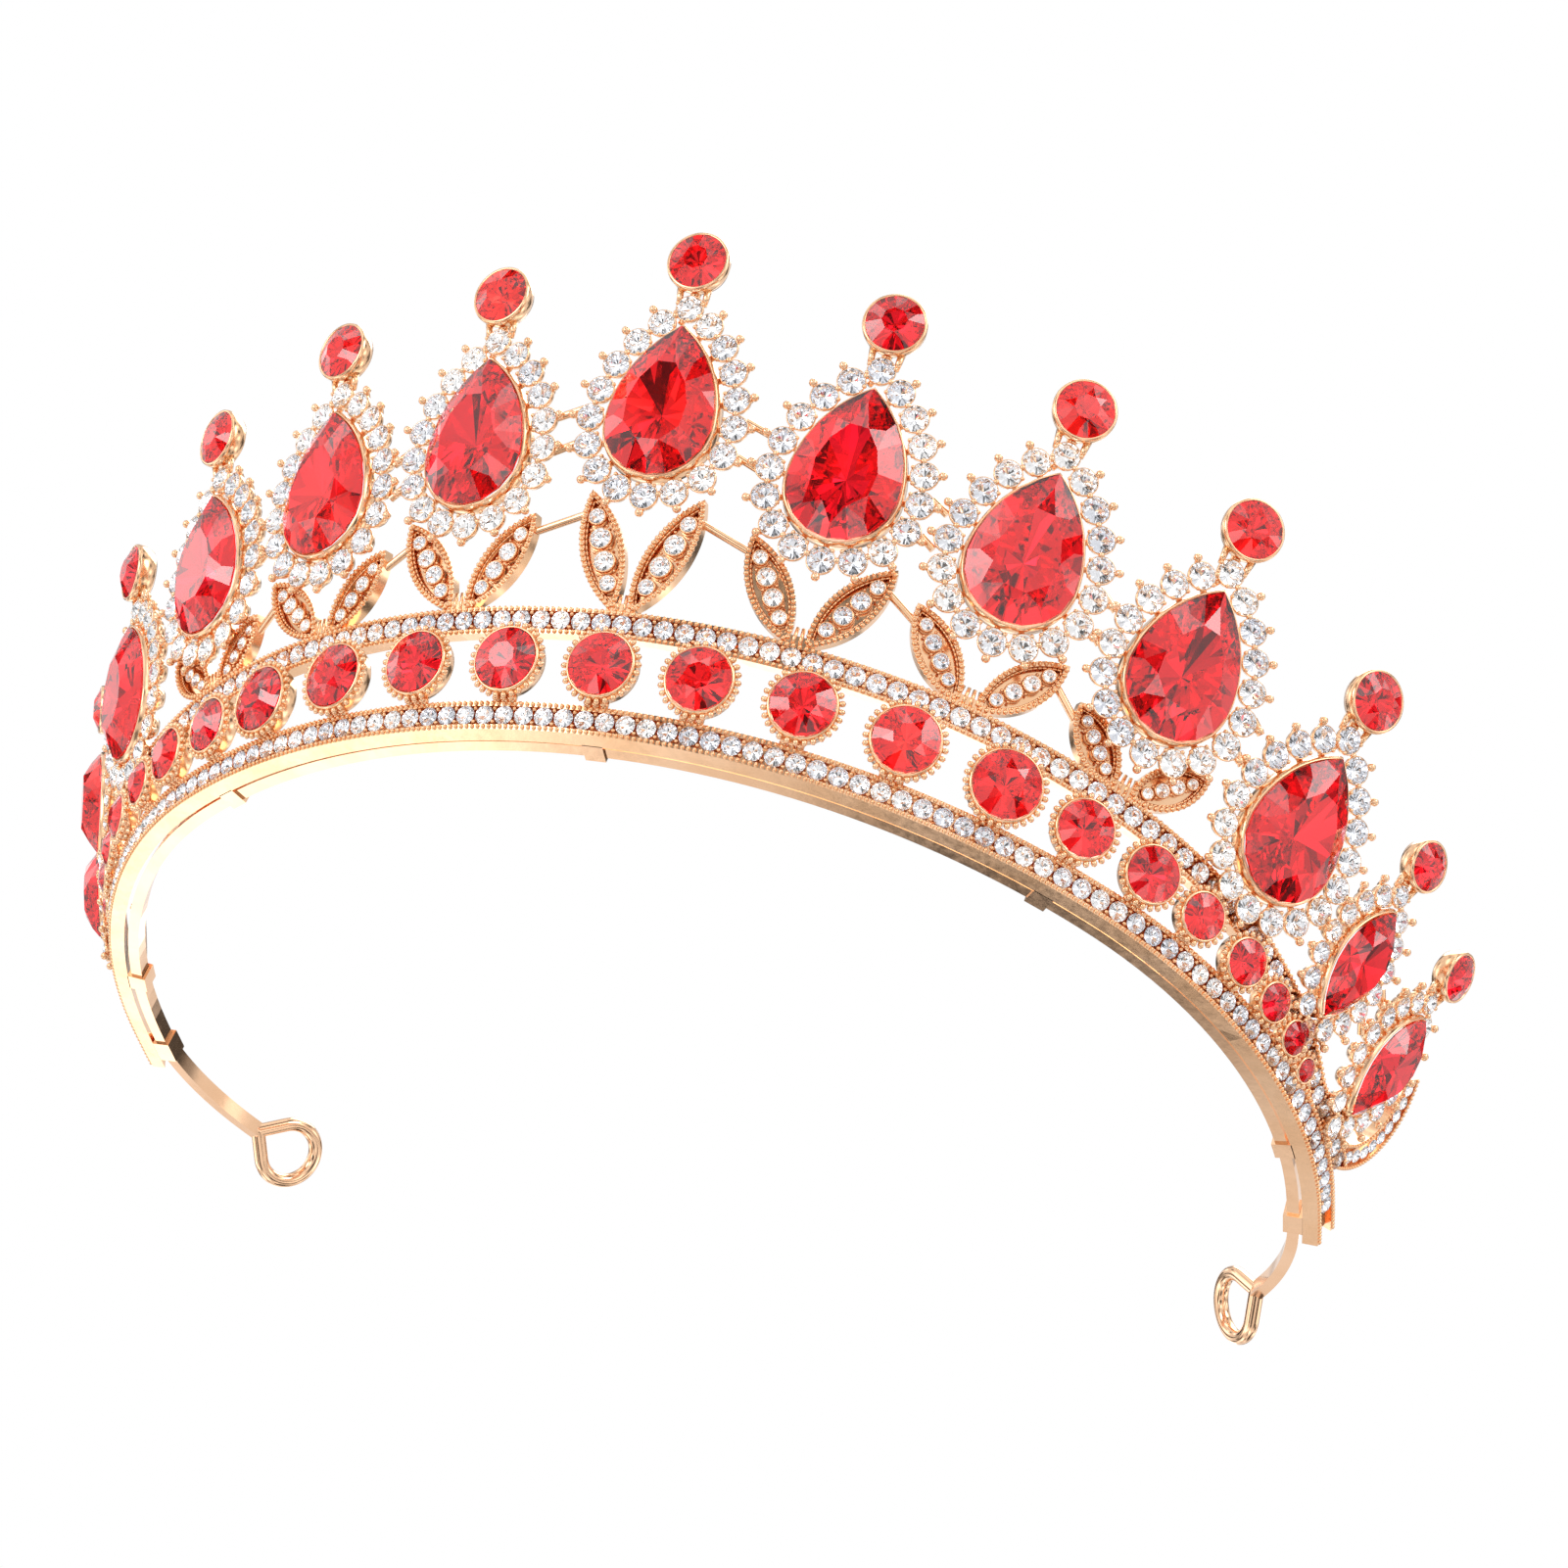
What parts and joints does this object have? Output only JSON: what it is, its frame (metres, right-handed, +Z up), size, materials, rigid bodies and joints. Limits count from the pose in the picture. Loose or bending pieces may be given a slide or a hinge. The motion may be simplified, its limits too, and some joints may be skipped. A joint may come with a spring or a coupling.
{
  "type": "tiara",
  "caption": "Crown-shaped tiara of gold castings set with red pear, pointed oval and round stones in clear halos, on an inner head band with a hair loop at each end.",
  "frame": {"origin": "middle of the object's width and depth, on the flat underside of the lower rail", "axes": "+X to the wearer's left side of the band, +Y from the forehead towards the open ends, +Z up"},
  "size_m": [0.1658, 0.1149, 0.0513],
  "materials": {
    "gold_band": "polished champagne-gold plate",
    "gold_casting": "bright champagne-gold plate with beaded edges",
    "red_stone": "faceted, foiled back",
    "clear_stone": "faceted, foiled back"
  },
  "bodies": {
    "root": {"inner_headband": "gold_band", "headband_clips": "gold_band", "end_ferrule_left": "gold_band", "end_ferrule_right": "gold_band", "hair_loop_left": "gold_band", "hair_loop_right": "gold_band", "lower_rail": "gold_casting", "upper_rail": "gold_casting", "band_bezels": "gold_casting", "leaf_pair_centre": "gold_casting", "leaf_pair_left_1": "gold_casting", "leaf_pair_right_1": "gold_casting", "leaf_pair_left_2": "gold_casting", "leaf_pair_right_2": "gold_casting", "leaf_pair_left_3": "gold_casting", "leaf_pair_right_3": "gold_casting", "leaf_bars": "gold_casting", "cluster_frame_centre": "gold_casting", "cluster_frame_left_1": "gold_casting", "cluster_frame_right_1": "gold_casting", "cluster_frame_left_2": "gold_casting", "cluster_frame_right_2": "gold_casting", "cluster_frame_left_3": "gold_casting", "cluster_frame_right_3": "gold_casting", "cluster_frame_left_4": "gold_casting", "cluster_frame_right_4": "gold_casting", "cluster_frame_left_5": "gold_casting", "cluster_frame_right_5": "gold_casting", "cluster_frame_left_6": "gold_casting", "cluster_frame_right_6": "gold_casting", "halo_links": "gold_casting", "end_scroll_left": "gold_casting", "end_scroll_right": "gold_casting", "band_stones": "red_stone", "pear_stone_centre": "red_stone", "pear_stone_left_1": "red_stone", "pear_stone_right_1": "red_stone", "pear_stone_left_2": "red_stone", "pear_stone_right_2": "red_stone", "pear_stone_left_3": "red_stone", "pear_stone_right_3": "red_stone", "pear_stone_left_4": "red_stone", "pear_stone_right_4": "red_stone", "oval_stone_left_5": "red_stone", "oval_stone_right_5": "red_stone", "oval_stone_left_6": "red_stone", "oval_stone_right_6": "red_stone", "top_stones": "red_stone", "lower_rail_stones": "clear_stone", "upper_rail_stones": "clear_stone", "leaf_stones": "clear_stone", "halo_stones_centre": "clear_stone", "halo_stones_left_1": "clear_stone", "halo_stones_right_1": "clear_stone", "halo_stones_left_3": "clear_stone", "halo_stones_right_3": "clear_stone", "halo_stones_left_5": "clear_stone", "halo_stones_right_5": "clear_stone", "end_scroll_stones": "clear_stone"}
  },
  "joints": []
}
